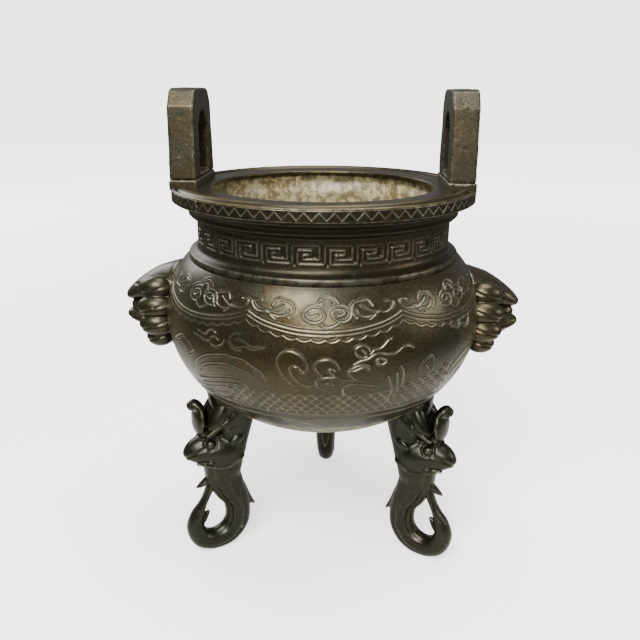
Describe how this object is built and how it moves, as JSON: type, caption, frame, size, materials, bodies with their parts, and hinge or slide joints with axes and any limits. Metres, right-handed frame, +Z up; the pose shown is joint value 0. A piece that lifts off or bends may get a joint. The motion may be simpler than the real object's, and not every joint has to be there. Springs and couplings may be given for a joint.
{
  "type": "tripod incense burner",
  "caption": "Round bellied incense burner of dark cast bronze on curled beast-headed legs, with upright pierced ears on a flanged rim, lion masks on the flanks and engraved dragons and clouds.",
  "frame": {"origin": "on the bowl's axis at the level of the surface the feet stand on", "axes": "+Z up; +X from the bowl's axis through the right ear and the right mask; +Y through the leg at the back"},
  "size_m": [0.2206, 0.1786, 0.2538],
  "materials": {
    "bowl_bronze": "dark brown patinated cast bronze, worn to a satin sheen on the high spots",
    "ear_bronze": "pitted grey-brown cast bronze with brighter rubbed edges",
    "mask_bronze": "dark brown cast bronze, rubbed on the muzzle and the locks",
    "leg_bronze": "olive-black patinated cast bronze with rubbed ridges"
  },
  "bodies": {
    "root": {"bowl": "bowl_bronze", "ear_right": "ear_bronze", "ear_left": "ear_bronze", "mask_right": "mask_bronze", "mask_left": "mask_bronze", "leg_right": "leg_bronze", "leg_back": "leg_bronze", "leg_left": "leg_bronze"}
  },
  "joints": []
}
